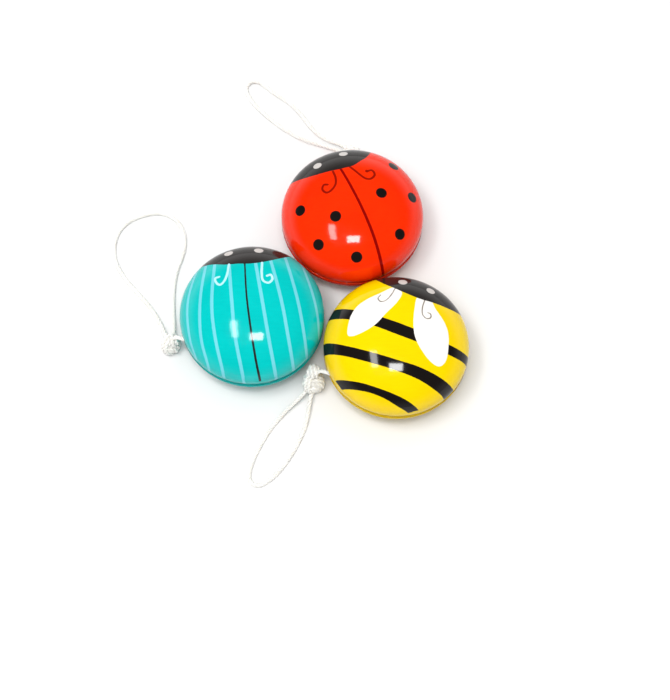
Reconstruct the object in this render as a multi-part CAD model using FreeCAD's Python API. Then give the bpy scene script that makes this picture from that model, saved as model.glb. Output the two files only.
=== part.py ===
"""Three wooden insect yo-yos lying together: a ladybird, a striped beetle and a bee.

Each yo-yo is two turned hardwood halves glued on a dowel axle, with a cotton cord wound
round the axle in the gap between them, a lead out of the gap, a knot and a finger loop.
Millimetres, +Z up, the table at Z = 0, origin under the middle of the three bodies.
"""
import FreeCAD, Part
import math
import os

Vector = FreeCAD.Vector

# Turned body, measured from the middle of the string gap along the axle
BODY_RADIUS = 27.5
HALF_WIDTH = 15.5
STRING_GAP = 1.8
RIM_LAND = 0.6
RIM_ROUND = 0.5

# Dowel axle, glued into a blind seat in each half
AXLE_RADIUS = 4.0
AXLE_SEAT = 10.0
SEAT_RELIEF = 0.5

# Cotton cord and the wound part of it, which turns freely on the axle
CORD_DIAMETER = 1.5
WINDING_BORE_RADIUS = 4.05
WINDING_RADIUS = 19.7
WINDING_WIDTH = 1.5
WINDING_ROUND = 0.5

# Share of the shorter run that each rounded corner of a cord takes
CORNER_SHARE = 0.45

# The bodies lie flat at the corners of an even triangle, this far apart and turned this much
BODY_SPACING = 56.0
GROUP_TURN = 77.0

# knot and crown: centre and radius of a knot's body and of the turn on its top.
# lead and loop: the cord's corner points from the winding to the knot, and round the loop.
YOYOS = {
    "ladybird": {
        "knot": ((11, 59, 4.1), 4.0),
        "crown": ((11, 58, 9), 2.6),
        "lead": [
            (-4, 38.5, 15.5), (-1.5, 41.5, 15.5), (1, 45, 15.5), (4, 48.5, 15.5),
            (6, 51.5, 15.5), (8, 54, 15.5), (9.5, 56, 14.6), (10.6, 57.4, 12.7),
            (11, 58, 10.6),
        ],
        "loop": [
            (10, 60, 3.6), (9, 63, 2.4), (6, 65.5, 1.4), (1.5, 67, 0.8), (-3, 70, 0.8),
            (-7, 75, 0.8), (-10, 79.5, 0.8), (-14.5, 84.5, 0.8), (-20, 88, 0.8),
            (-24, 91.5, 0.8), (-27, 94, 0.8), (-30, 94, 0.8), (-32, 92, 0.8), (-32, 89, 0.8),
            (-29.5, 84.5, 0.8), (-25.5, 80, 0.8), (-20, 75, 0.8), (-14, 70.5, 0.8),
            (-7.5, 67, 0.8), (-1, 65, 0.8), (4.5, 63, 1.2), (8, 61, 2.2), (9.5, 59, 3.2),
        ],
    },
    "beetle": {
        "knot": ((-59, -21.5, 4.1), 4.0),
        "crown": ((-57.5, -21.5, 9), 2.6),
        "lead": [
            (-35, -31.5, 15.5), (-38.5, -30, 15.5), (-42.5, -28, 15.5), (-46.5, -26.5, 15.5),
            (-50, -24.5, 15.5), (-53, -23.5, 15.5), (-55, -22.5, 14.6), (-56.6, -21.6, 12.7),
            (-57.5, -21.5, 10.6),
        ],
        "loop": [
            (-58.5, -19, 3.8), (-58, -16, 2.4), (-58.5, -11, 1.2), (-59, -4, 0.8),
            (-59, 3.5, 0.8), (-58, 11, 0.8), (-55.5, 17.5, 0.8), (-55, 25, 0.8),
            (-58, 32, 0.8), (-64.5, 35.5, 0.8), (-72, 34.5, 0.8), (-79, 31, 0.8),
            (-83, 24.5, 0.8), (-83, 16, 0.8), (-79.5, 8.5, 0.8), (-74, 2, 0.8),
            (-68.5, -4, 0.8), (-64.5, -10, 1), (-62, -15.5, 2), (-60.5, -19, 3.4),
        ],
    },
    "bee": {
        "knot": ((-4, -37, 4.7), 4.6),
        "crown": ((-4, -34.5, 10), 3.0),
        "lead": [
            (20.5, -44.5, 15.5), (17, -43, 15.5), (12.5, -41.5, 15.5), (8.5, -39.5, 15.5),
            (5, -38.5, 15.5), (2, -37, 15.5), (0, -36, 14.6), (-1.6, -35.1, 12.7),
            (-2.5, -35, 10.6),
        ],
        "loop": [
            (-4.5, -40, 4), (-5.5, -44, 2.6), (-6, -49, 1.2), (-7.5, -55, 0.8),
            (-10.5, -61.5, 0.8), (-14, -67.5, 0.8), (-18, -72.5, 0.8), (-21.5, -75.5, 0.8),
            (-24.5, -77, 0.8), (-27.5, -76, 0.8), (-28.5, -73, 0.8), (-27, -67, 0.8),
            (-24, -60.5, 0.8), (-20.5, -54.5, 0.8), (-16.5, -49.5, 1), (-12, -45, 2),
            (-8.5, -42, 3.2), (-6, -39.5, 4.2),
        ],
    },
}

GAP_FACE = STRING_GAP / 2
LAND_TOP = GAP_FACE + RIM_LAND
SEAT_END = GAP_FACE + AXLE_SEAT


def body_centres():
    """Plan positions of the bodies, with the box round all three centred on the origin."""
    reach = BODY_SPACING / math.sqrt(3)
    corners = []
    for number in range(len(YOYOS)):
        angle = math.radians(GROUP_TURN + 120 * number)
        corners.append((reach * math.cos(angle), reach * math.sin(angle)))
    (xs, ys) = zip(*corners)
    (middle_x, middle_y) = ((min(xs) + max(xs)) / 2, (min(ys) + max(ys)) / 2)
    return [(x - middle_x, y - middle_y) for (x, y) in corners]


def quarter_ellipse(start, end):
    """Exact quarter ellipse in the XZ plane, upright at its start and level at its end."""
    corner = Vector(start.x, 0, end.z)
    curve = Part.BSplineCurve()
    curve.buildFromPolesMultsKnots(
        [start, corner, end], [3, 3], [0, 1], False, 2, [1, math.sqrt(0.5), 1]
    )
    return curve.toShape()


def half_profile():
    """Closed outline of the upper half in the XZ plane, from the seat round to the crown."""
    face_outer = Vector(BODY_RADIUS - RIM_ROUND, 0, GAP_FACE)
    corner_centre = face_outer + Vector(0, 0, RIM_ROUND)
    diagonal = RIM_ROUND * math.sqrt(0.5)
    land_low = Vector(BODY_RADIUS, 0, GAP_FACE + RIM_ROUND)
    land_high = Vector(BODY_RADIUS, 0, LAND_TOP)
    crown = Vector(0, 0, HALF_WIDTH)
    seat_mouth = Vector(AXLE_RADIUS, 0, GAP_FACE)
    seat_wall_end = Vector(AXLE_RADIUS, 0, SEAT_END + SEAT_RELIEF)
    seat_centre = Vector(0, 0, SEAT_END + SEAT_RELIEF)
    rounded_edge = Part.Arc(face_outer, corner_centre + Vector(diagonal, 0, -diagonal), land_low)
    edges = [
        Part.LineSegment(seat_mouth, face_outer).toShape(),
        rounded_edge.toShape(),
        Part.LineSegment(land_low, land_high).toShape(),
        quarter_ellipse(land_high, crown),
        Part.LineSegment(crown, seat_centre).toShape(),
        Part.LineSegment(seat_centre, seat_wall_end).toShape(),
        Part.LineSegment(seat_wall_end, seat_mouth).toShape(),
    ]
    return Part.Wire(Part.__sortEdges__(edges))


def upper_half():
    return Part.Face(half_profile()).revolve(Vector(0, 0, 0), Vector(0, 0, 1), 360)


def lower_half():
    half = upper_half()
    half.rotate(Vector(0, 0, 0), Vector(1, 0, 0), 180)
    return half


def axle():
    return Part.makeCylinder(AXLE_RADIUS, 2 * SEAT_END, Vector(0, 0, -SEAT_END))


def string_winding():
    """Outer shape of the wound cord, a ring with slightly rounded outer edges."""
    base = Vector(0, 0, -WINDING_WIDTH / 2)
    ring = Part.makeCylinder(WINDING_RADIUS, WINDING_WIDTH, base)
    ring = ring.makeFillet(WINDING_ROUND, [e for e in ring.Edges if len(e.Vertexes) == 1])
    return ring.cut(Part.makeCylinder(WINDING_BORE_RADIUS, WINDING_WIDTH, base))


def knot(yoyo):
    (body_centre, body_radius) = yoyo["knot"]
    (crown_centre, crown_radius) = yoyo["crown"]
    body = Part.makeSphere(body_radius, Vector(*body_centre))
    crown = Part.makeSphere(crown_radius, Vector(*crown_centre))
    return body.fuse(crown).removeSplitter()


def rounded_path(corners):
    """Straight runs joined by tangent arcs, and the radii of those arcs."""
    points = [Vector(*corner) for corner in corners]
    edges = []
    radii = []
    start = points[0]
    for before, corner, after in zip(points, points[1:], points[2:]):
        back = (before - corner).normalize()
        ahead = (after - corner).normalize()
        half_turn = (math.pi - back.getAngle(ahead)) / 2
        reach = CORNER_SHARE * min(before.distanceToPoint(corner), corner.distanceToPoint(after))
        radius = reach / math.tan(half_turn)
        inward = (back + ahead).normalize()
        middle = corner + inward * (math.hypot(radius, reach) - radius)
        arc_start = corner + back * reach
        arc_end = corner + ahead * reach
        edges.append(Part.LineSegment(start, arc_start).toShape())
        edges.append(Part.Arc(arc_start, middle, arc_end).toShape())
        radii.append(radius)
        start = arc_end
    edges.append(Part.LineSegment(start, points[-1]).toShape())
    return Part.Wire(edges), radii


def cord_tube(name, corners):
    """A round cord along the corner points, with its figures printed."""
    path, radii = rounded_path(corners)
    start = path.Edges[0].valueAt(path.Edges[0].FirstParameter)
    direction = Vector(*corners[1]) - Vector(*corners[0])
    section = Part.Wire(Part.Circle(start, direction, CORD_DIAMETER / 2).toShape())
    tube = path.makePipeShell([section], True, False)
    expected = math.pi * CORD_DIAMETER ** 2 / 4 * path.Length
    print(
        f"{name}: length {path.Length:.1f} mm, volume {tube.Volume / expected:.4f} of expected,"
        f" lowest Z {tube.BoundBox.ZMin:.2f}, radii {[round(r, 1) for r in radii]}"
    )
    return tube


def build(name, yoyo, centre):
    """Every piece of one yo-yo, by node name, where it lies."""
    turned = {
        "upper_half": upper_half(),
        "lower_half": lower_half(),
        "axle": axle(),
        "string_winding": string_winding(),
    }
    for shape in turned.values():
        shape.translate(Vector(*centre, HALF_WIDTH))
    laid = {
        "string_lead": cord_tube(f"{name}_string_lead", yoyo["lead"]),
        "knot": knot(yoyo),
        "finger_loop": cord_tube(f"{name}_finger_loop", yoyo["loop"]),
    }
    return {f"{name}_{piece}": shape for piece, shape in {**turned, **laid}.items()}


def main():
    os.makedirs("parts", exist_ok=True)
    for (name, yoyo), centre in zip(YOYOS.items(), body_centres()):
        print(f"{name}: centre {centre[0]:.3f}, {centre[1]:.3f}")
        for node, shape in build(name, yoyo, centre).items():
            solid = shape.Solids[0]
            print(f"{node}: valid {solid.isValid()}, {solid.Volume:.1f} mm3")
            solid.exportStep(f"parts/{node}.step")


main()
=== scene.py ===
"""Looks of three wooden insect yo-yos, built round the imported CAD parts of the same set.

Metres, +Z up, the table at Z = 0. Each yo-yo has two lacquered halves with painted marks, a
bare dowel axle, a twisted cotton cord wound in its gap, a knot and a finger loop.
"""
import math

import bpy
import numpy as np
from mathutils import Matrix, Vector


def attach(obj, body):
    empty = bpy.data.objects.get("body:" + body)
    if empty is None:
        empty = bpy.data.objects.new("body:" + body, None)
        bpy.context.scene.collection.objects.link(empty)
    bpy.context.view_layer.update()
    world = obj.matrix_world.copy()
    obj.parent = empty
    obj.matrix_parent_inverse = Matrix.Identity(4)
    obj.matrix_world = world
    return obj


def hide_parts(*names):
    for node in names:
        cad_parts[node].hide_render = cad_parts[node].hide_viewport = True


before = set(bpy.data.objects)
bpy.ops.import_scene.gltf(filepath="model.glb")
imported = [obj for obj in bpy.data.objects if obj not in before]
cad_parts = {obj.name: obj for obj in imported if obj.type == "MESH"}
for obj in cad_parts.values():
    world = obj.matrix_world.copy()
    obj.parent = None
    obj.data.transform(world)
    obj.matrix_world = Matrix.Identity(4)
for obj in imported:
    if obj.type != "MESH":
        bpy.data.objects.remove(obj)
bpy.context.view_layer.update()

MM = 0.001

# Turned body, millimetres from the middle of the string gap
BODY_RADIUS = 27.5
HALF_WIDTH = 15.5
GAP_FACE = 0.9
LAND_TOP = 1.5
DOME_HEIGHT = HALF_WIDTH - LAND_TOP
RIM_ROUND = 0.5
SEAT_RADIUS = 4.0
SEAT_END = 11.4
SEAT_CHAMFER = 0.4

# Cotton cord
PLIES = 3
PLY_RADIUS = 0.45
PLY_OFFSET = 0.34
PLY_PITCH = 4.6

# Wound part of the cord: one turn on top of the other
TURNS = 11
FIRST_RADIUS = 4.95
TURN_RISE = 1.4
POINTS_PER_TURN = 18

# Wraps of a knot: their distance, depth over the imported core, share of the ball covered,
# points in one, and how far and how often one strays from its circle
WRAP_PITCH = 1.3
KNOT_SHELL = 0.55
WRAP_COVER = 0.94
WRAP_POINTS = 14
WRAP_STRAY = 0.05
WRAP_STRAY_RATE = 2.3

# Headings of a knot's wraps, its crown's and the slanted turns, and where the wraps start
KNOT_TURN = 1.2
CROWN_TURN = 1.7
SLANT_TURN = 1.1
KNOT_START = 0.4
CROWN_START = 1.1

# The two slanted turns over a knot: points in one, lift, lean and distance from the middle
SLANT_POINTS = 18
SLANT_LIFT = 0.3
SLANT_LEAN = 0.35
SLANT_SHIFT = 0.75

# Step along the cord and corners round a ply, for the mesh of each piece of cord
KNOT_MESH = (0.3, 9)
WOUND_MESH = (0.36, 7)
LOOP_MESH = (0.25, 10)

# The bodies lie flat at the corners of an even triangle, this far apart and turned this much
BODY_SPACING = 56.0
GROUP_TURN = 77.0

# knot and crown: centre and radius of a knot's body and of the turn on its top.
# lead and loop: the cord's route to the knot and round the loop.
YOYOS = {
    "ladybird": {
        "knot": ((11, 59, 4.1), 4.0),
        "crown": ((11, 58, 9), 2.6),
        "lead": [
            (-4, 38.5, 15.5), (-1.5, 41.5, 15.5), (1, 45, 15.5), (4, 48.5, 15.5),
            (6, 51.5, 15.5), (8, 54, 15.5), (9.5, 56, 14.6), (10.6, 57.4, 12.7),
            (11, 58, 10.6),
        ],
        "loop": [
            (10, 60, 3.6), (9, 63, 2.4), (6, 65.5, 1.4), (1.5, 67, 0.8), (-3, 70, 0.8),
            (-7, 75, 0.8), (-10, 79.5, 0.8), (-14.5, 84.5, 0.8), (-20, 88, 0.8),
            (-24, 91.5, 0.8), (-27, 94, 0.8), (-30, 94, 0.8), (-32, 92, 0.8), (-32, 89, 0.8),
            (-29.5, 84.5, 0.8), (-25.5, 80, 0.8), (-20, 75, 0.8), (-14, 70.5, 0.8),
            (-7.5, 67, 0.8), (-1, 65, 0.8), (4.5, 63, 1.2), (8, 61, 2.2), (9.5, 59, 3.2),
        ],
    },
    "beetle": {
        "knot": ((-59, -21.5, 4.1), 4.0),
        "crown": ((-57.5, -21.5, 9), 2.6),
        "lead": [
            (-35, -31.5, 15.5), (-38.5, -30, 15.5), (-42.5, -28, 15.5), (-46.5, -26.5, 15.5),
            (-50, -24.5, 15.5), (-53, -23.5, 15.5), (-55, -22.5, 14.6), (-56.6, -21.6, 12.7),
            (-57.5, -21.5, 10.6),
        ],
        "loop": [
            (-58.5, -19, 3.8), (-58, -16, 2.4), (-58.5, -11, 1.2), (-59, -4, 0.8),
            (-59, 3.5, 0.8), (-58, 11, 0.8), (-55.5, 17.5, 0.8), (-55, 25, 0.8),
            (-58, 32, 0.8), (-64.5, 35.5, 0.8), (-72, 34.5, 0.8), (-79, 31, 0.8),
            (-83, 24.5, 0.8), (-83, 16, 0.8), (-79.5, 8.5, 0.8), (-74, 2, 0.8),
            (-68.5, -4, 0.8), (-64.5, -10, 1), (-62, -15.5, 2), (-60.5, -19, 3.4),
        ],
    },
    "bee": {
        "knot": ((-4, -37, 4.7), 4.6),
        "crown": ((-4, -34.5, 10), 3.0),
        "lead": [
            (20.5, -44.5, 15.5), (17, -43, 15.5), (12.5, -41.5, 15.5), (8.5, -39.5, 15.5),
            (5, -38.5, 15.5), (2, -37, 15.5), (0, -36, 14.6), (-1.6, -35.1, 12.7),
            (-2.5, -35, 10.6),
        ],
        "loop": [
            (-4.5, -40, 4), (-5.5, -44, 2.6), (-6, -49, 1.2), (-7.5, -55, 0.8),
            (-10.5, -61.5, 0.8), (-14, -67.5, 0.8), (-18, -72.5, 0.8), (-21.5, -75.5, 0.8),
            (-24.5, -77, 0.8), (-27.5, -76, 0.8), (-28.5, -73, 0.8), (-27, -67, 0.8),
            (-24, -60.5, 0.8), (-20.5, -54.5, 0.8), (-16.5, -49.5, 1), (-12, -45, 2),
            (-8.5, -42, 3.2), (-6, -39.5, 4.2),
        ],
    },
}


def body_centres():
    """Plan positions of the bodies, with the box round all three centred on the origin."""
    reach = BODY_SPACING / math.sqrt(3)
    corners = []
    for number in range(len(YOYOS)):
        angle = math.radians(GROUP_TURN + 120 * number)
        corners.append((reach * math.cos(angle), reach * math.sin(angle)))
    (xs, ys) = zip(*corners)
    (middle_x, middle_y) = ((min(xs) + max(xs)) / 2, (min(ys) + max(ys)) / 2)
    return [(x - middle_x, y - middle_y) for (x, y) in corners]


for yoyo, centre in zip(YOYOS.values(), body_centres()):
    yoyo["centre"] = centre


def srgb(red, green, blue):
    """Linear RGBA of a display colour given as 0 to 255."""
    values = []
    for value in (red, green, blue):
        share = value / 255
        low = share / 12.92
        high = ((share + 0.055) / 1.055) ** 2.4
        values.append(low if share <= 0.04045 else high)
    return (*values, 1.0)


# ---------------------------------------------------------------- camera

CAMERA_TARGET = Vector((4.2, -27.6, 15.0)) * MM
CAMERA_DISTANCE = 0.65
CAMERA_ELEVATION = math.radians(70.5)
CAMERA_LENS = 88.44


def make_camera():
    data = bpy.data.cameras.new("camera")
    data.lens = CAMERA_LENS
    data.clip_start = 0.01
    data.clip_end = 20
    camera = bpy.data.objects.new("camera", data)
    back = Vector((0, -math.cos(CAMERA_ELEVATION), math.sin(CAMERA_ELEVATION)))
    camera.location = CAMERA_TARGET + back * CAMERA_DISTANCE
    camera.rotation_euler = (math.pi / 2 - CAMERA_ELEVATION, 0, 0)
    bpy.context.scene.collection.objects.link(camera)
    bpy.context.scene.camera = camera


make_camera()


# ---------------------------------------------------------------- cords

def add_object(name, data, location=(0, 0, 0)):
    piece = bpy.data.objects.new(name, data)
    piece.location = location
    bpy.context.scene.collection.objects.link(piece)
    return piece


def mesh_object(name, points, faces, location=(0, 0, 0)):
    """A smooth-shaded mesh from points in millimetres."""
    mesh = bpy.data.meshes.new(name)
    mesh.from_pydata((np.asarray(points) * MM).tolist(), [], faces)
    mesh.update()
    mesh.shade_smooth()
    return add_object(name, mesh, location)


def spline_line(points):
    """The points, in millimetres, of the smooth NURBS line that has these control points."""
    curve = bpy.data.curves.new("route", "CURVE")
    curve.dimensions = "3D"
    curve.resolution_u = 12
    spline = curve.splines.new("NURBS")
    spline.points.add(len(points) - 1)
    for place, point in zip(spline.points, points):
        place.co = (*(np.asarray(point) * MM), 1)
    spline.order_u = 3
    spline.use_endpoint_u = True
    route = bpy.data.objects.new("route", curve)
    mesh = bpy.data.meshes.new_from_object(route)
    line = np.array([vertex.co for vertex in mesh.vertices], float) / MM
    bpy.data.meshes.remove(mesh)
    bpy.data.objects.remove(route)
    bpy.data.curves.remove(curve)
    return line


def spaced(line, step):
    """The same line with its points evenly spaced, about a step apart, and the distances."""
    gaps = np.linalg.norm(np.diff(line, axis=0), axis=1)
    along = np.concatenate([[0], np.cumsum(gaps)])
    at = np.linspace(0, along[-1], math.ceil(along[-1] / step) + 1)
    return np.stack([np.interp(at, along, line[:, k]) for k in range(3)], axis=1), at


def carried_frames(line):
    """Two unit vectors across the line at each point, carried along it without twist."""
    tangents = np.gradient(line, axis=0)
    tangents /= np.linalg.norm(tangents, axis=1)[:, None]
    side = np.cross(tangents[0], (0.0, 0.0, 1.0))
    if np.linalg.norm(side) < 0.1:
        side = np.cross(tangents[0], (1.0, 0.0, 0.0))
    sides = []
    for tangent in tangents:
        side = side - tangent * (side @ tangent)
        side = side / np.linalg.norm(side)
        sides.append(side)
    sides = np.array(sides)
    return sides, np.cross(tangents, sides)


def twisted_plies(line, step, corners):
    """Points, faces and fibre coordinates of the plies twisted together along the line."""
    centre, at = spaced(line, step)
    (across, up) = carried_frames(centre)
    points, faces, fibres = [], [], []
    for ply in range(PLIES):
        turn = 2 * math.pi * (at / PLY_PITCH + ply / PLIES)
        lay = across * np.cos(turn)[:, None] + up * np.sin(turn)[:, None]
        middle = centre + lay * PLY_OFFSET
        (ply_across, ply_up) = carried_frames(middle)
        first = len(points)
        for ring in range(len(middle)):
            for corner in range(corners):
                angle = 2 * math.pi * corner / corners
                out = ply_across[ring] * math.cos(angle) + ply_up[ring] * math.sin(angle)
                points.append(middle[ring] + out * PLY_RADIUS)
                fibres.append((at[ring], corner / corners, float(ply)))
        for ring in range(len(middle) - 1):
            base = first + ring * corners
            for corner in range(corners):
                after = (corner + 1) % corners
                faces.append((
                    base + corner, base + after, base + corners + after, base + corners + corner
                ))
        last = first + (len(middle) - 1) * corners
        faces.append(tuple(range(first + corners - 1, first - 1, -1)))
        faces.append(tuple(range(last, last + corners)))
    return points, faces, fibres


def packed_core(centre, radius):
    """Points, faces and fibre coordinates of the ball of cord inside a knot."""
    (rings, corners) = (14, 24)
    points, faces, fibres = [], [], []
    for ring in range(1, rings):
        tilt = math.pi * ring / rings
        for corner in range(corners):
            angle = 2 * math.pi * corner / corners
            out = Vector((math.cos(angle), math.sin(angle), 0)) * math.sin(tilt)
            out += Vector((0, 0, math.cos(tilt)))
            points.append(tuple(Vector(centre) + out * radius))
            fibres.append((radius * angle, ring / rings, 0.0))
    for base in range(0, (rings - 2) * corners, corners):
        for corner in range(corners):
            after = (corner + 1) % corners
            faces.append((
                base + corner, base + corners + corner, base + corners + after, base + after
            ))
    last = (rings - 2) * corners
    faces.append(tuple(range(corners)))
    faces.append(tuple(range(last + corners - 1, last - 1, -1)))
    return points, faces, fibres


def cord_piece(name, lines, step, corners, cores=()):
    """One mesh of twisted cord along each of the lines, with fibre coordinates for its look."""
    points, faces, fibres = [], [], []
    shapes = [twisted_plies(line, step, corners) for line in lines]
    shapes += [packed_core(*core) for core in cores]
    for (more_points, more_faces, more_fibres) in shapes:
        first = len(points)
        points += more_points
        faces += [tuple(first + index for index in face) for face in more_faces]
        fibres += more_fibres
    piece = mesh_object(name, points, faces)
    attribute = piece.data.attributes.new("fibre", "FLOAT_VECTOR", "POINT")
    attribute.data.foreach_set("vector", np.array(fibres, np.float32).ravel())
    return piece


def winding_points(yoyo):
    """Turns of the wound cord from the axle out to the start of the lead, clockwise from above."""
    (x, y) = yoyo["centre"]
    (end_x, end_y, _) = yoyo["lead"][0]
    end_angle = math.atan2(end_y - y, end_x - x)
    points = []
    for number in range(TURNS * POINTS_PER_TURN):
        left = TURNS - number / POINTS_PER_TURN
        radius = FIRST_RADIUS + TURN_RISE * max(TURNS - 1 - left, 0)
        angle = end_angle + 2 * math.pi * left
        points.append((x + radius * math.cos(angle), y + radius * math.sin(angle), HALF_WIDTH))
    return points


def wrapped_ball(centre, radius, heading, start):
    """Turns of cord laid side by side over a ball, round a level axis with the heading."""
    reach = radius - PLY_RADIUS - PLY_OFFSET
    (axis_x, axis_y) = (math.cos(heading), math.sin(heading))
    ends = WRAP_COVER * reach
    turns = 2 * ends / WRAP_PITCH
    count = math.ceil(turns * WRAP_POINTS)
    points = []
    for number in range(count + 1):
        offset = ends * (2 * number / count - 1)
        around = start + 2 * math.pi * turns * number / count
        stray = 1 + WRAP_STRAY * math.sin(WRAP_STRAY_RATE * around)
        ring = math.sqrt(reach ** 2 - offset ** 2) * stray
        level = ring * math.cos(around)
        points.append((
            centre[0] + offset * axis_x - level * axis_y,
            centre[1] + offset * axis_y + level * axis_x,
            centre[2] + ring * math.sin(around),
        ))
    return points


def slanted_turn(centre, radius, heading, lean, shift):
    """One turn of cord lying slantwise over the wraps of a knot."""
    across = Vector((-math.sin(heading), math.cos(heading), 0))
    normal = Vector((math.cos(heading), math.sin(heading), 0)) * math.cos(lean)
    normal += Vector((0, 0, 1)) * math.sin(lean)
    up = normal.cross(across)
    points = []
    for number in range(SLANT_POINTS + 2):
        angle = 2 * math.pi * number / SLANT_POINTS
        out = across * math.cos(angle) + up * math.sin(angle)
        points.append(tuple(Vector(centre) + normal * shift + out * (radius - PLY_RADIUS)))
    return points


def knot_lines(yoyo):
    """The cord's turns in the knot: a wrapped body, a wrapped crown and turns across them."""
    (centre, radius) = yoyo["knot"]
    (crown, crown_radius) = yoyo["crown"]
    (x, y) = yoyo["centre"]
    heading = math.atan2(centre[1] - y, centre[0] - x) + KNOT_TURN
    lifted = (centre[0], centre[1], centre[2] + SLANT_LIFT)
    routes = [
        wrapped_ball(centre, radius, heading, KNOT_START),
        wrapped_ball(crown, crown_radius, heading + CROWN_TURN, CROWN_START),
        slanted_turn(lifted, radius, heading + SLANT_TURN, SLANT_LEAN, SLANT_SHIFT),
        slanted_turn(lifted, radius, heading + SLANT_TURN, SLANT_LEAN, -SLANT_SHIFT),
    ]
    return [spline_line(route) for route in routes]


def metres(point):
    return tuple(value * MM for value in point)


def make_cords(name, yoyo):
    """The wound cord with its lead, the knot and the finger loop of one yo-yo."""
    body = f"{name}_string"
    cores = [(centre, radius - KNOT_SHELL) for (centre, radius) in (yoyo["knot"], yoyo["crown"])]
    knot = cord_piece(f"{name}_knot_turns", knot_lines(yoyo), *KNOT_MESH, cores)
    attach(knot, body)
    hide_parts(f"{name}_knot")

    line = spline_line(winding_points(yoyo) + yoyo["lead"])
    wound = cord_piece(f"{name}_wound_cord", [line], *WOUND_MESH)
    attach(wound, body)
    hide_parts(f"{name}_string_winding", f"{name}_string_lead")

    line = spline_line(yoyo["loop"])
    loop = cord_piece(f"{name}_finger_cord", [line], *LOOP_MESH)
    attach(loop, body)
    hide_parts(f"{name}_finger_loop")
    return [knot, wound, loop]


cords = {name: make_cords(name, yoyo) for name, yoyo in YOYOS.items()}


# ---------------------------------------------------------------- painted marks

def smooth(points, closed=False, samples=10):
    """A Catmull-Rom line through the points."""
    points = [np.array(point, float) for point in points]
    if closed:
        chain = [points[-1], *points, points[0], points[1]]
    else:
        chain = [2 * points[0] - points[1], *points, 2 * points[-1] - points[-2]]
    line = []
    for a, b, c, d in zip(chain, chain[1:], chain[2:], chain[3:]):
        for number in range(samples):
            t = number / samples
            line.append(0.5 * (
                2 * b + (c - a) * t + (2 * a - 5 * b + 4 * c - d) * t ** 2
                + (3 * b - a - 3 * c + d) * t ** 3
            ))
    if not closed:
        line.append(chain[-2])
    return np.array(line)


def on_dome(plan):
    """Points of the upper dome over plan points; beyond the rim they run down its side."""
    plan = np.asarray(plan, float).reshape(-1, 2)
    radius = np.linalg.norm(plan, axis=1)
    inside = np.minimum(radius, BODY_RADIUS - 1e-6)
    height = LAND_TOP + DOME_HEIGHT * np.sqrt(1 - (inside / BODY_RADIUS) ** 2)
    height -= np.maximum(radius - BODY_RADIUS, 0)
    scale = np.where(radius > BODY_RADIUS, BODY_RADIUS / np.maximum(radius, 1e-9), 1.0)
    return np.column_stack([plan * scale[:, None], height])


def line_distance(points, line, closed=False):
    """Distance of each point from a line of 3-D points."""
    ends = np.roll(line, -1, axis=0) if closed else line[1:]
    starts = line if closed else line[:-1]
    best = np.full(len(points), np.inf)
    for start, end in zip(starts, ends):
        run = end - start
        share = np.clip((points - start) @ run / max(run @ run, 1e-12), 0, 1)
        gap = points - start - share[:, None] * run
        best = np.minimum(best, np.einsum("ij,ij->i", gap, gap))
    return np.sqrt(best)


def stroke(points, plan, width, end_width=None):
    """Signed distance from a painted line of a width, negative on the paint."""
    line = smooth(plan)
    if end_width is None:
        return line_distance(points, on_dome(line)) - width / 2
    best = np.full(len(points), np.inf)
    path = on_dome(line)
    count = len(path) - 1
    for number in range(count):
        here = width + (end_width - width) * (number + 0.5) / count
        best = np.minimum(best, line_distance(points, path[number:number + 2]) - here / 2)
    return best


def spot(points, centre, radius):
    return np.linalg.norm(points - on_dome([centre])[0], axis=1) - radius


def area(points, outline):
    """Signed distance from a painted area with a closed outline, negative inside it."""
    outline = np.asarray(outline, float)
    crossings = np.zeros(len(points), int)
    for start, end in zip(outline, np.roll(outline, -1, axis=0)):
        if start[1] == end[1]:
            continue
        spans = (points[:, 1] >= min(start[1], end[1])) & (points[:, 1] < max(start[1], end[1]))
        at = start[0] + (points[:, 1] - start[1]) / (end[1] - start[1]) * (end[0] - start[0])
        crossings += spans & (points[:, 0] < at)
    distance = line_distance(points, on_dome(outline), closed=True)
    return np.where(crossings % 2 == 1, -distance, distance)


def united(*fields):
    return np.minimum.reduce(fields)


def ladybird_marks(points):
    (curl_width, curl_drop, spot_radius, eye_radius) = (0.9, 0.7, 2.15, 1.7)
    head = list(smooth([
        (-30, 12), (-20, 12), (-15, 12.5), (-10, 13.5), (-5, 14.5), (0, 16), (3, 18.5),
        (5.5, 21), (7, 24.5), (8, 31),
    ])) + [(0, 40), (-40, 40), (-40, 14)]
    spots = [
        (-20, -2), (-6.5, -6), (-13, -16), (1.5, -21), (11, 4), (23, 4.5), (18, -11.5), (16, 18),
    ]
    left = [
        (-7.5, 13.5), (-6.5, 10.5), (-6.5, 7.5), (-8, 5), (-10, 4), (-11.5, 5.5), (-11, 7.5),
        (-9.5, 7.5),
    ]
    right = [
        (-1, 15.5), (1, 13.5), (3, 11.5), (5, 10), (7, 10), (8.5, 12), (7.5, 14), (5.5, 13.5),
    ]
    seam = [(-4.5, 14.5), (0, 5), (4.5, -5), (8.5, -15), (12, -26)]
    return {
        "curls": united(
            stroke(points, left, curl_width), stroke(points, right, curl_width),
            spot(points, right[-1], curl_drop),
        ),
        "seam": stroke(points, seam, 0.95, 1.2),
        "spots": united(*[spot(points, place, spot_radius) for place in spots]),
        "black": area(points, head),
        "eyes": united(
            spot(points, (-13.5, 17.5), eye_radius), spot(points, (-3.5, 23), eye_radius)
        ),
    }


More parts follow.
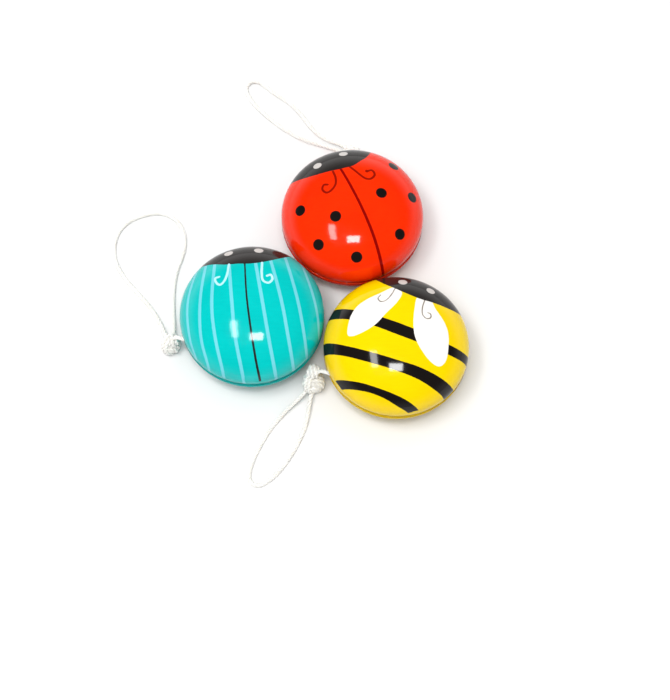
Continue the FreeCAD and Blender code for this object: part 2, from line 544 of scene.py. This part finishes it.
def beetle_marks(points):
    (curl_width, stripe_width, eye_radius) = (0.85, 1.22, 1.75)
    head = list(smooth([
        (-30, 19.5), (-20, 18), (-15, 17.5), (-10, 16.5), (-5, 16.5), (0, 16.5), (5, 17.5),
        (10, 19.5), (14, 22), (20, 28),
    ])) + [(20, 40), (-40, 40), (-40, 20)]
    stripes = [
        [(-21, 17), (-24, 2), (-23, -11), (-20.5, -18.5)],
        [(-17.5, 18), (-19, 2), (-18.5, -12), (-15.5, -23)],
        [(-14, 18), (-14.5, 0), (-13, -13), (-10, -25.5)],
        [(-8.5, 17), (-7, 1), (-5.5, -13), (-2.5, -27.5)],
        [(1.5, 17), (4.5, 0), (7, -14), (9.5, -26)],
        [(7, 19), (11.5, 1), (14, -12), (16, -22.5)],
        [(12.5, 21), (17.5, 2), (20, -11), (21, -18)],
        [(18.5, 20), (23, 6), (25, -3), (25.5, -10.5)],
    ]
    seam = [(-2.5, 16.5), (-1.5, 3), (0, -8.5), (2, -20.5), (3.5, -27)]
    left = [
        (-8.5, 16.5), (-9, 12), (-10, 9), (-11.5, 7.5), (-13, 8.5), (-13.5, 10.5), (-12, 11),
    ]
    right = [(4, 17), (4, 12), (4.5, 9), (6.5, 8), (8, 9.5), (7.5, 11.5), (6, 11)]
    return {
        "stripes": united(*[stroke(points, stripe, stripe_width) for stripe in stripes]),
        "black": united(area(points, head), stroke(points, seam, 0.6, 0.95)),
        "curls": united(stroke(points, left, curl_width), stroke(points, right, curl_width)),
        "eyes": united(spot(points, (-9, 22.5), eye_radius), spot(points, (2.5, 23.5), eye_radius)),
    }


def bee_marks(points):
    (curl_width, eye_radius) = (0.5, 1.7)
    head = list(smooth([
        (-10, 29), (-7.5, 25), (-4.5, 22), (-0.5, 19.5), (3, 17.5), (8.5, 15), (14.5, 13.5),
        (20, 12), (25, 11), (31, 10),
    ])) + [(40, 10), (40, 40), (-10, 40)]
    edges = [
        (
            [(-26, 14), (-15, 10.5), (-5, 6.5), (5, 2.5), (15, -1.5), (27.5, -5.5)],
            [(28, -9), (18, -6.5), (7, -3), (-1, 0), (-9, 3.5), (-18, 7), (-27, 9.5)],
        ),
        (
            [(-28.5, 0.5), (-20, -3), (-12, -6), (0, -10), (7, -12), (15, -15), (22.5, -18.5)],
            [(19, -22), (13.5, -19.5), (7, -16.5), (-3, -13), (-12, -10), (-20, -7), (-28.5, -4)],
        ),
        (
            [(-23, -14.5), (-18, -16), (-13, -17.5), (-7.5, -19.5), (-2, -21.5), (3, -23.5), (8, -26)],
            [(4, -27), (0, -25.5), (-5, -23), (-10, -21), (-15, -19.5), (-20.5, -18)],
        ),
    ]
    left_wing = smooth([
        (-1, 20), (-6, 17.5), (-11, 15), (-15, 12), (-17.5, 7.5), (-18.5, 1.5), (-17, 0), (-13, 1),
        (-8, 4), (-4, 8.5), (0, 13), (2, 17.5),
    ], closed=True)
    right_wing = smooth([
        (8, 16), (6.5, 10), (6, 4), (6.5, -1), (8.5, -5.5), (12, -10), (15.5, -11.5), (18, -9),
        (19, -4), (19, 1.5), (17.5, 6), (14.5, 11), (12.5, 15),
    ], closed=True)
    left = [(-0.5, 19.5), (-2, 16.5), (-4, 14), (-6, 13.5), (-7, 15), (-6, 16.5)]
    right = [(10.5, 14.5), (9.5, 11), (9.5, 8), (11, 6.5), (12.5, 7), (12.5, 8.5), (11.5, 9)]
    bands = [area(points, [*smooth(top), *smooth(bottom)]) for top, bottom in edges]
    return {
        "bands": united(*bands),
        "wings": united(area(points, left_wing), area(points, right_wing)),
        "curls": united(stroke(points, left, curl_width), stroke(points, right, curl_width)),
        "black": area(points, head),
        "eyes": united(spot(points, (2.5, 23), eye_radius), spot(points, (13, 19.5), eye_radius)),
    }


# ---------------------------------------------------------------- node materials

def new_material(name):
    material = bpy.data.materials.new(name)
    material.use_nodes = True
    nodes = material.node_tree.nodes
    return material, material.node_tree, nodes["Principled BSDF"]


def node(tree, kind, settings=(), **inputs):
    """A new node. Settings are its own properties, and inputs are values or sockets by name."""
    made = tree.nodes.new(kind)
    for key, value in dict(settings).items():
        setattr(made, key, value)
    for key, value in inputs.items():
        socket = made.inputs[int(key[1:])] if key[0] == "i" and key[1:].isdigit() else made.inputs[key]
        if isinstance(value, bpy.types.NodeSocket):
            tree.links.new(value, socket)
        else:
            socket.default_value = value
    return made


def math_node(tree, operation, first, second=0.0, third=None):
    values = {"i0": first, "i1": second}
    if third is not None:
        values["i2"] = third
    return node(tree, "ShaderNodeMath", {"operation": operation}, **values).outputs[0]


def mixed(tree, factor, first, second):
    made = node(
        tree, "ShaderNodeMix", {"data_type": "RGBA", "blend_type": "MIX"},
        i0=factor, i6=first, i7=second,
    )
    return made.outputs[2]


def noise(tree, vector, scale, detail=2.0, roughness=0.5):
    made = node(
        tree, "ShaderNodeTexNoise", Vector=vector, Scale=scale, Detail=detail, Roughness=roughness,
    )
    return made.outputs["Fac"]


def stretched(tree, vector, factors, turn=0.0):
    made = node(tree, "ShaderNodeMapping", Vector=vector, Scale=factors, Rotation=(0, 0, turn))
    return made.outputs[0]


def mask(tree, name, wobble, softness):
    """1 on the paint of a mark and 0 off it, with a slightly uneven brushed edge."""
    field = node(tree, "ShaderNodeAttribute", {"attribute_name": f"mark_{name}"}).outputs["Fac"]
    uneven = math_node(tree, "ADD", field, wobble)
    made = node(
        tree, "ShaderNodeMapRange", {"interpolation_type": "SMOOTHSTEP"},
        Value=uneven, **{"From Min": softness, "From Max": -softness},
    )
    return made.outputs[0]


def lacquer(name, base, deep, layers, turn, coat=1.0):
    """Gloss lacquer over turned wood, with painted layers laid over it from first to last."""
    (material, tree, shader) = new_material(name)
    place = node(tree, "ShaderNodeTexCoord").outputs["Object"]
    grain_place = stretched(tree, place, (1.0, 9.0, 9.0), turn)
    grain = noise(tree, grain_place, 130.0, 4.0, 0.6)
    cloud = noise(tree, place, 60.0, 2.0)
    fine = noise(tree, place, 900.0, 2.0)
    wobble = math_node(tree, "MULTIPLY_ADD", fine, 0.16, -0.08)

    tint = math_node(tree, "MULTIPLY_ADD", grain, 0.5, math_node(tree, "MULTIPLY", cloud, 0.5))
    tint = node(
        tree, "ShaderNodeMapRange", Value=tint, **{"From Min": 0.3, "From Max": 0.72}
    ).outputs[0]
    colour = mixed(tree, tint, deep, base)
    height = math_node(tree, "MULTIPLY", grain, 0.18)
    for mark, paint, edge in layers:
        (light, dark) = paint
        cover = mask(tree, mark, wobble, edge)
        paint_colour = mixed(tree, cloud, dark, light)
        colour = mixed(tree, cover, colour, paint_colour)
        height = math_node(tree, "ADD", height, cover)
    tree.links.new(colour, shader.inputs["Base Color"])

    orange_peel = noise(tree, place, 260.0, 1.0)
    height = math_node(tree, "ADD", height, math_node(tree, "MULTIPLY", orange_peel, 0.35))
    bump = node(tree, "ShaderNodeBump", Height=height, Strength=1.0, Distance=0.03 * MM)
    tree.links.new(bump.outputs[0], shader.inputs["Normal"])
    rough = math_node(tree, "MULTIPLY_ADD", cloud, 0.12, 0.2)
    tree.links.new(rough, shader.inputs["Roughness"])
    shader.inputs["IOR"].default_value = 1.5
    shader.inputs["Coat Weight"].default_value = coat
    shader.inputs["Coat Roughness"].default_value = 0.08
    shader.inputs["Coat IOR"].default_value = 1.38
    shader.inputs["Specular IOR Level"].default_value = 0.0
    return material


def cotton(name, shade):
    """Twisted cotton: fine fibres along each ply, soft sheen and a little grey in the lay."""
    (material, tree, shader) = new_material(name)
    fibre = node(tree, "ShaderNodeAttribute", {"attribute_name": "fibre"}).outputs["Vector"]
    place = node(tree, "ShaderNodeTexCoord").outputs["Object"]
    along = stretched(tree, fibre, (0.7, 9.0, 3.0))
    threads = noise(tree, along, 3.2, 5.0, 0.65)
    slubs = noise(tree, place, 240.0, 3.0)
    tone = math_node(tree, "MULTIPLY_ADD", threads, 0.6, math_node(tree, "MULTIPLY", slubs, 0.4))
    tone = node(
        tree, "ShaderNodeMapRange", Value=tone, **{"From Min": 0.32, "From Max": 0.66}
    ).outputs[0]
    (light, dark) = shade
    tree.links.new(mixed(tree, tone, dark, light), shader.inputs["Base Color"])
    bump = node(tree, "ShaderNodeBump", Height=threads, Strength=0.8, Distance=0.12 * MM)
    tree.links.new(bump.outputs[0], shader.inputs["Normal"])
    shader.inputs["Roughness"].default_value = 0.92
    shader.inputs["IOR"].default_value = 1.4
    shader.inputs["Subsurface Weight"].default_value = 0.6
    shader.inputs["Subsurface Radius"].default_value = (1.0, 0.95, 0.9)
    shader.inputs["Subsurface Scale"].default_value = 1.2 * MM
    shader.inputs["Sheen Weight"].default_value = 0.35
    shader.inputs["Sheen Roughness"].default_value = 0.5
    return material


def bare_wood(name):
    """Sanded dowel: grain along the axle with fine dark pores."""
    (material, tree, shader) = new_material(name)
    place = node(tree, "ShaderNodeTexCoord").outputs["Object"]
    grain = noise(tree, stretched(tree, place, (1.0, 1.0, 0.08)), 1400.0, 5.0, 0.6)
    pores = noise(tree, stretched(tree, place, (1.0, 1.0, 0.03)), 4200.0, 2.0)
    pores = node(
        tree, "ShaderNodeMapRange", Value=pores, **{"From Min": 0.62, "From Max": 0.74}
    ).outputs[0]
    colour = mixed(tree, grain, srgb(176, 134, 88), srgb(224, 190, 142))
    colour = mixed(tree, pores, colour, srgb(122, 84, 50))
    tree.links.new(colour, shader.inputs["Base Color"])
    bump = node(tree, "ShaderNodeBump", Height=grain, Strength=0.5, Distance=0.05 * MM)
    tree.links.new(bump.outputs[0], shader.inputs["Normal"])
    shader.inputs["Roughness"].default_value = 0.6
    return material


BLACK = (srgb(24, 20, 18), srgb(12, 10, 10))
HEAD = (srgb(37, 33, 31), srgb(26, 23, 22))
EYE = (srgb(188, 184, 180), srgb(170, 162, 158))
WHITE = (srgb(222, 220, 214), srgb(214, 211, 205))
EDGE = 0.09
FINE_EDGE = 0.14

LOOKS = {
    "ladybird": {
        "marks": ladybird_marks,
        "slot": "red_lacquer",
        "base": srgb(220, 43, 2),
        "deep": srgb(210, 34, 1),
        "turn": 0.4,
        "layers": [
            ("curls", (srgb(132, 18, 3), srgb(116, 12, 2)), FINE_EDGE),
            ("seam", (srgb(134, 4, 1), srgb(104, 3, 1)), FINE_EDGE),
            ("spots", BLACK, EDGE),
            ("black", HEAD, EDGE),
            ("eyes", EYE, EDGE),
        ],
    },
    "beetle": {
        "marks": beetle_marks,
        "slot": "turquoise_lacquer",
        "base": srgb(3, 174, 170),
        "deep": srgb(1, 162, 159),
        "turn": 1.3,
        "layers": [
            ("stripes", (srgb(106, 188, 197), srgb(92, 176, 188)), FINE_EDGE),
            ("black", HEAD, EDGE),
            ("curls", (srgb(176, 208, 216), srgb(150, 200, 210)), FINE_EDGE),
            ("eyes", EYE, EDGE),
        ],
    },
    "bee": {
        "marks": bee_marks,
        "slot": "yellow_lacquer",
        "base": srgb(218, 189, 0),
        "deep": srgb(212, 178, 0),
        "turn": 2.1,
        "layers": [
            ("bands", BLACK, EDGE),
            ("wings", WHITE, EDGE),
            ("curls", (srgb(124, 114, 108), srgb(108, 98, 92)), FINE_EDGE),
            ("black", HEAD, EDGE),
            ("eyes", EYE, EDGE),
        ],
    },
}

COTTON = (srgb(236, 234, 228), srgb(212, 208, 199))


# ---------------------------------------------------------------- turned halves

RING_SEGMENTS = 320
DOME_RINGS = 84
EDGE_RINGS = 8
FACE_RINGS = 14
SHARP_ANGLE = math.radians(40)

# A mark's distance is kept up to this far from it, and is left off the gap face and the seat
MARK_REACH = 5.0
FACE_MARGIN = 0.02
SEAT_MARGIN = 1.0
SEAT_CLEAR_HEIGHT = 13.0


def half_profile():
    """Radius and height pairs of the upper half from its crown round to the end of its seat."""
    pairs = []
    for number in range(1, DOME_RINGS + 1):
        angle = math.pi / 2 * (1 - number / DOME_RINGS)
        pairs.append((BODY_RADIUS * math.cos(angle), LAND_TOP + DOME_HEIGHT * math.sin(angle)))
    # Fault: both rings lie below the top of the rounded edge, so the wall doubles back there
    pairs += [(BODY_RADIUS, LAND_TOP - 0.35), (BODY_RADIUS, LAND_TOP - 0.7)]
    for number in range(EDGE_RINGS + 1):
        angle = math.pi / 2 * number / EDGE_RINGS
        pairs.append((
            BODY_RADIUS - RIM_ROUND * (1 - math.cos(angle)),
            GAP_FACE + RIM_ROUND * (1 - math.sin(angle)),
        ))
    for number in range(1, FACE_RINGS + 1):
        share = number / FACE_RINGS
        inner = SEAT_RADIUS + SEAT_CHAMFER
        outer = BODY_RADIUS - RIM_ROUND
        pairs.append((outer + (inner - outer) * share, GAP_FACE))
    pairs += [(SEAT_RADIUS, GAP_FACE + SEAT_CHAMFER), (SEAT_RADIUS, SEAT_END)]
    return pairs


def turned_half(name, yoyo, side):
    """One half of the body, side 1 for the upper and -1 for the lower, as a closed mesh."""
    pairs = half_profile()
    points = [(0, 0, HALF_WIDTH * side)]
    for (radius, height) in pairs:
        for segment in range(RING_SEGMENTS):
            angle = 2 * math.pi * segment / RING_SEGMENTS
            points.append((radius * math.cos(angle), radius * math.sin(angle), height * side))
    points.append((0, 0, SEAT_END * side))
    last = len(points) - 1
    faces = []
    for segment in range(RING_SEGMENTS):
        after = (segment + 1) % RING_SEGMENTS
        faces.append((0, 1 + segment, 1 + after))
        for ring in range(len(pairs) - 1):
            (here, there) = (1 + ring * RING_SEGMENTS, 1 + (ring + 1) * RING_SEGMENTS)
            faces.append((here + segment, there + segment, there + after, here + after))
        end = 1 + (len(pairs) - 1) * RING_SEGMENTS
        faces.append((end + segment, last, end + after))
    if side < 0:
        faces = [tuple(reversed(face)) for face in faces]
    location = metres((*yoyo["centre"], HALF_WIDTH))
    half = mesh_object(name, points, faces, location)
    half.data.set_sharp_from_angle(angle=SHARP_ANGLE)
    return half, np.array(points, float)


def add_marks(half, points, marks):
    """Stores each mark's signed distance, in millimetres, on the half's outer surface."""
    inner = points[:, 2] < GAP_FACE + FACE_MARGIN
    in_seat = np.hypot(points[:, 0], points[:, 1]) < SEAT_RADIUS + SEAT_MARGIN
    inner |= in_seat & (points[:, 2] < SEAT_CLEAR_HEIGHT)
    for mark, field in marks(points).items():
        values = np.where(inner, MARK_REACH, np.clip(field, -MARK_REACH, MARK_REACH))
        attribute = half.data.attributes.new(f"mark_{mark}", "FLOAT", "POINT")
        attribute.data.foreach_set("value", values.astype(np.float32))


def dress_node(name, material):
    """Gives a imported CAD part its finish, in its object's own material slots."""
    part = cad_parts[name]
    for slot in part.material_slots:
        slot.link = "OBJECT"
        slot.material = material


wood = bare_wood("dowel_wood")
string = cotton("cotton_cord", COTTON)

for name, yoyo in YOYOS.items():
    look = LOOKS[name]
    body = f"{name}_spool"
    upper_look = lacquer(
        f"{name}_painted_lacquer", look["base"], look["deep"], look["layers"], look["turn"]
    )
    lower_look = lacquer(
        f"{name}_plain_lacquer", look["base"], look["deep"], [], look["turn"], coat=0.35
    )
    (upper, points) = turned_half(f"{name}_painted_half", yoyo, 1)
    add_marks(upper, points, look["marks"])
    (lower, _) = turned_half(f"{name}_plain_half", yoyo, -1)
    for (half, finish, replaced) in (
        (upper, upper_look, f"{name}_upper_half"), (lower, lower_look, f"{name}_lower_half"),
    ):
        half.data.materials.append(finish)
        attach(half, body)
        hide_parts(replaced)
    dress_node(f"{name}_axle", wood)
    for piece in cords[name]:
        piece.data.materials.append(string)


# ---------------------------------------------------------------- studio

WALL_LIGHT = 1.0
CEILING_LIGHT = 0.03
RIGHT_GAIN = -0.2
BACK_GAIN = 0.5
FLOOR_REACH = 2.2
FLOOR_TONES = ((0.62, 0.62, 0.62, 1), (0.65, 0.65, 0.648, 1))


def area_light(name, place, size, radiance, in_gloss=True):
    """A rectangular soft light above the table, facing straight down."""
    data = bpy.data.lights.new(name, "AREA")
    data.shape = "RECTANGLE"
    (data.size, data.size_y) = size
    data.energy = radiance * math.pi * size[0] * size[1]
    light = bpy.data.objects.new(name, data)
    light.location = place
    light.visible_glossy = in_gloss
    bpy.context.scene.collection.objects.link(light)


def make_floor():
    mesh = bpy.data.meshes.new("floor")
    (low, high) = (-FLOOR_REACH, FLOOR_REACH)
    mesh.from_pydata(
        [(low, low, 0), (high, low, 0), (high, high, 0), (low, high, 0)], [], [(0, 1, 2, 3)]
    )
    floor = add_object("floor", mesh)
    (material, tree, shader) = new_material("pale_floor")
    place = node(tree, "ShaderNodeTexCoord").outputs["Object"]
    cloud = noise(tree, place, 14.0, 3.0)
    tree.links.new(mixed(tree, cloud, *FLOOR_TONES), shader.inputs["Base Color"])
    shader.inputs["Roughness"].default_value = 0.7
    shader.inputs["Specular IOR Level"].default_value = 0.2
    floor.data.materials.append(material)


def make_world():
    """Pale walls of a light tent, brightest at the back and left, and dim overhead."""
    world = bpy.data.worlds.new("studio")
    world.use_nodes = True
    tree = world.node_tree
    background = tree.nodes["Background"]
    background.inputs["Color"].default_value = (1.0, 1.0, 1.0, 1.0)
    direction = node(tree, "ShaderNodeTexCoord").outputs["Generated"]
    (right, back, up) = node(tree, "ShaderNodeSeparateXYZ", Vector=direction).outputs
    strength = node(
        tree, "ShaderNodeMapRange", {"interpolation_type": "SMOOTHSTEP"}, Value=up,
        **{"From Min": 0.05, "From Max": 0.5, "To Min": WALL_LIGHT, "To Max": CEILING_LIGHT},
    ).outputs[0]
    side = math_node(tree, "MULTIPLY_ADD", right, RIGHT_GAIN, 1.0)
    side = math_node(tree, "MULTIPLY_ADD", back, BACK_GAIN, side)
    strength = math_node(tree, "MULTIPLY", strength, side)
    tree.links.new(strength, background.inputs["Strength"])
    bpy.context.scene.world = world


make_floor()
make_world()
area_light("tent_ceiling", (0, 0, 2.5), (12.0, 12.0), 0.88, in_gloss=False)
area_light("key_panel", (-0.25, -0.22, 1.1), (0.5, 0.5), 9.0, in_gloss=False)
area_light("left_softbox", (-0.385, -0.10, 1.2), (0.15, 0.36), 14.5)
area_light("front_softbox", (0.038, -0.262, 1.2), (0.25, 0.17), 32.0)
bpy.context.scene.view_settings.view_transform = "Standard"
